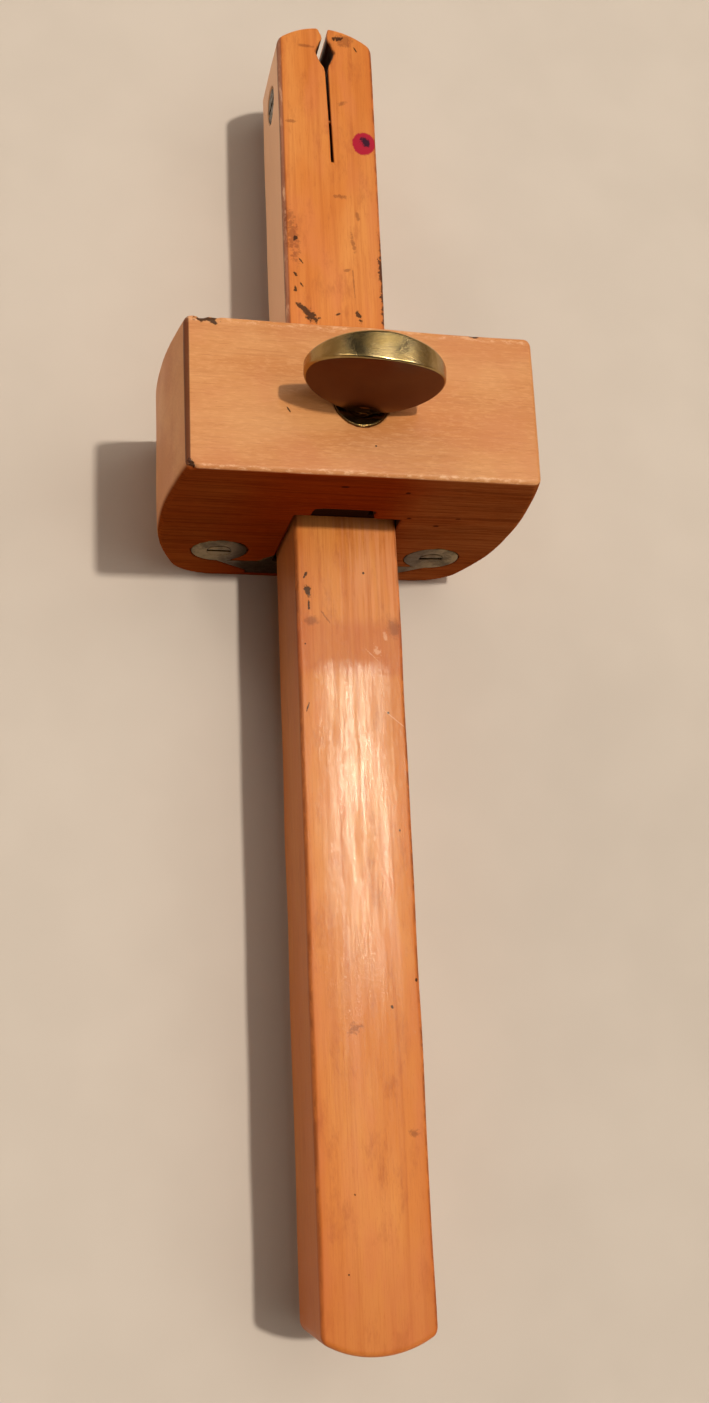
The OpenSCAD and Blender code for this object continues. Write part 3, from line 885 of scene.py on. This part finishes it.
def screw_brass():
    """Bright mid-rim; tarnish and painted shade at the rim's ends, painted reflection on the flat faces,
    painted shade round the foot.
    """
    bright, dull = rgb(230, 200, 142), rgb(190, 158, 100)
    s, colour, rough, fine = brass("screw_brass", bright, dull, 0.15, 0.27, (7, 1, 3))
    x, _, z = s.axes()
    split = s.tree.nodes.new("ShaderNodeSeparateXYZ")
    s.put(split.inputs[0], s.tree.nodes.new("ShaderNodeTexCoord").outputs["Normal"])
    # tarnish and painted shade towards the ends of the rim
    ends = s.fit(s.gap(x, SCREW_X), 5.5, 10.5, 0.0, 0.85)
    colour = s.mix(ends, colour, rgb(152, 116, 66))
    # painted reflection of the shaded wood, dark brown, on the flat faces
    flat = s.fit(s.gap(split.outputs[1], 0.0), 0.8, 0.93)
    face = s.mix(s.noise((0.5, 0.5, 0.5), 4, 0.6, 0.4), rgb(74, 36, 12), rgb(94, 54, 24))
    colour = s.mix(flat, colour, face)
    # painted shade round the foot, under the head, which also darkens the bush
    foot_shade = s.fit(z, STOCK_TOP + 4.0, STOCK_TOP + 1.0, 0.0, 0.9)
    colour = s.mix(foot_shade, colour, rgb(124, 92, 52))
    ridges = s.noise((1.2, 8, 8), 3, 0.6)
    relief = s.bump(s.plus(fine, s.times(ridges, 0.6)), 0.012)
    return s.finish(Base_Color=colour, Metallic=1.0, Roughness=rough, Normal=relief)


def steel():
    s = Shader("steel")
    patch = s.noise((1.2, 1.2, 1.2), 5, 0.65)
    colour = s.mix(s.fit(patch, 0.42, 0.62), rgb(120, 116, 110), rgb(70, 60, 52))
    rough = s.fit(patch, 0.35, 0.65, 0.35, 0.6)
    return s.finish(Base_Color=colour, Metallic=1.0, Roughness=rough, Normal=s.bump(patch, 0.02))


# ---------------------------------------------------------------- the gauge

STEM_MATERIAL = stem_wood()
STOCK_MATERIAL = stock_wood()
SHOE_MATERIAL = shoe_wood()
PLATE_MATERIAL = plate_brass()
SCREW_MATERIAL = screw_brass()
STEEL_MATERIAL = steel()

carve("stem_wood", ["stem"], "beam", stem_distance, 0.3, 0.4, STEM_MATERIAL)
carve("stock_wood", ["stock"], "fence", stock_distance, 0.5, 0.5, STOCK_MATERIAL)
carve("brass_face_plate", ["face_plate"], "fence", plate_distance, 0.25, 0.6, PLATE_MATERIAL)
for side, word in ((-1, "left"), (1, "right")):
    carve(
        "plate_screw_" + word + "_brass", ["plate_screw_" + word], "fence",
        plate_screw_distance(side), 0.12, 0.7, PLATE_MATERIAL,
    )
carve("bush_brass", ["threaded_bush"], "fence", bush_distance, 0.25, 0.7, SCREW_MATERIAL)
carve(
    "thumb_screw_brass", ["thumb_screw"], "locking_screw",
    thumb_screw_distance, 0.22, 0.6, SCREW_MATERIAL,
)
carve("shoe_beech", ["pressure_shoe"], "shoe", shoe_distance, 0.4, 0.6, SHOE_MATERIAL)
carve(
    "clamp_screw_steel", ["pencil_clamp_screw"], "clamp_screw",
    clamp_screw_distance, 0.15, 0.7, STEEL_MATERIAL,
)


def lathe(name, outline, centre_x, centre_y, segments, material):
    """Turns an outline of (radius, height) points round an upright axis."""
    work = bmesh.new()
    rings = []
    for radius, height in outline:
        ring = []
        for i in range(segments):
            angle = 2 * math.pi * i / segments
            x = centre_x + radius * math.cos(angle)
            y = centre_y + radius * math.sin(angle)
            ring.append(work.verts.new(Vector((x, y, height)) * MM))
        rings.append(ring)
    for lower, upper in zip(rings, rings[1:]):
        for i in range(segments):
            j = (i + 1) % segments
            work.faces.new((lower[i], lower[j], upper[j], upper[i]))
    work.faces.new(list(reversed(rings[0])))
    work.faces.new(rings[-1])
    mesh = bpy.data.meshes.new(name)
    work.to_mesh(mesh)
    work.free()
    mesh.shade_smooth()
    mesh.materials.append(material)
    return link(name, mesh)


pin_low, pin_high = node_box("marking_pin")
pin_side = PIN_RADIUS - PIN_GAP
pin_outline = [(PIN_POINT, pin_low[2])]
for share in (0.2, 0.5, 0.8, 1.0):
    pin_outline.append((PIN_POINT + (pin_side - PIN_POINT) * share, pin_low[2] + PIN_TAPER * share))
pin_outline += [(pin_side, pin_low[2] + PIN_TAPER + 0.3), (pin_side, pin_high[2] - 0.2)]
pin_outline.append((PIN_RADIUS - 0.2, pin_high[2]))
pin = lathe("marking_pin_steel", pin_outline, STEM_X, PIN_Y, 40, STEEL_MATERIAL)
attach(pin, "beam")
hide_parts("marking_pin")


# ---------------------------------------------------------------- floor, light and camera


def studio_floor():
    """A plain pale floor that curves up all round, far away. Its sizes are in metres."""
    s = Shader("floor")
    colour = s.mix(s.fit(s.noise((0.05, 0.05, 0.05), 2), 0.3, 0.7), rgb(198, 185, 171), rgb(195, 182, 168))
    s.finish(Base_Color=colour, Roughness=0.85)
    flat_radius, curve_radius, sides = 1.2, 1.1, 96
    outline = [(0.3, 0.0), (flat_radius, 0.0)]
    for step in range(1, 13):
        angle = math.radians(7 * step)
        rise = curve_radius * (1 - math.cos(angle))
        outline.append((flat_radius + curve_radius * math.sin(angle), rise))
    outline.append((2.35, 1.7))  # and straight on to the rim
    work = bmesh.new()
    centre = work.verts.new((0, 0, 0))
    turns = [2 * math.pi * i / sides for i in range(sides)]
    rings = []
    for radius, height in outline:
        ring = [(radius * math.cos(turn), radius * math.sin(turn), height) for turn in turns]
        rings.append([work.verts.new(place) for place in ring])
    for i in range(sides):
        j = (i + 1) % sides
        work.faces.new((centre, rings[0][i], rings[0][j]))
        for inner, outer in zip(rings, rings[1:]):
            work.faces.new((inner[i], outer[i], outer[j], inner[j]))
    mesh = bpy.data.meshes.new("floor")
    work.to_mesh(mesh)
    work.free()
    mesh.shade_smooth()
    mesh.materials.append(s.material)
    link("floor", mesh)


def sun(name, direction, strength, spread, colour):
    """A distant lamp; direction points towards it, spread is in degrees."""
    data = bpy.data.lights.new(name, "SUN")
    data.energy = strength
    data.angle = math.radians(spread)
    data.color = colour
    lamp = link(name, data)
    lamp.rotation_euler = Vector(direction).to_track_quat("Z", "Y").to_euler()
    return lamp


def camera():
    """Looks down at the gauge from its near left; right, up and back are the camera's axes."""
    data = bpy.data.cameras.new("camera")
    data.sensor_width = 36
    data.lens = 37.94
    data.clip_start = 0.01
    right = Vector((0.97558, -0.04206, 0.21559))
    up = Vector((-0.0155, 0.96587, 0.25858))
    back = Vector((-0.2191, -0.25561, 0.94163))
    turn = Matrix((right, up, back)).transposed().to_4x4()
    eye = Vector((-55.81, -82.8, 272.23)) * MM
    view = link("camera", data)
    view.matrix_world = Matrix.Translation(eye) @ turn
    bpy.context.scene.camera = view


def world():
    """A faint warm light from all round."""
    sky = bpy.data.worlds.new("studio")
    sky.use_nodes = True
    background = sky.node_tree.nodes["Background"]
    background.inputs["Color"].default_value = (1.0, 0.93, 0.86, 1)
    background.inputs["Strength"].default_value = 0.02
    bpy.context.scene.world = sky


def panel(name, centre, target, width, length, watts, colour):
    """A flat lamp, centre and target in millimetres, sizes in metres."""
    data = bpy.data.lights.new(name, "AREA")
    data.shape = "RECTANGLE"
    data.size = width
    data.size_y = length
    data.energy = watts
    data.color = colour
    lamp = link(name, data)
    back = (Vector(centre) - Vector(target)).normalized()
    side = Vector((0, 1, 0)).cross(back).normalized()
    turn = Matrix((side, back.cross(side), back)).transposed().to_4x4()
    lamp.matrix_world = Matrix.Translation(Vector(centre) * MM) @ turn
    return lamp


studio_floor()
# The key casts the shadows, soft fills them, and back lights the far and left sides.
sun("key", (0.245, 0.02, 1.0), 2.2, 2.2, (1.0, 0.95, 0.87)).visible_glossy = False
panel("soft", (600, 60, 1400), (0, 0, 0), 1.6, 1.6, 11.4, (1.0, 0.95, 0.88)).visible_glossy = False
panel("back", (-700, 960, 400), (0, 90, 10), 0.5, 0.5, 4.3, (1.0, 0.95, 0.9)).visible_glossy = False
# These are seen only as reflections in varnish and brass.
shine = [
    panel("window", (284, 216, 1227), (2, -32, 27), 0.06, 0.235, 7.2, (1.0, 0.96, 0.72)),
    panel("left_shine", (-655, 260, 758), (0, 30, 50), 0.3, 0.3, 1.2, (1.0, 0.96, 0.9)),
    panel("right_shine", (615, 260, 797), (0, 30, 50), 0.25, 0.25, 1.6, (1.0, 0.96, 0.9)),
    panel("ceiling", (200, 250, 1500), (0, 0, 0), 1.0, 1.0, 3.9, (1.0, 0.95, 0.9)),
]
for lamp in shine:
    lamp.visible_diffuse = False
camera()
world()
bpy.context.scene.view_settings.view_transform = "Standard"
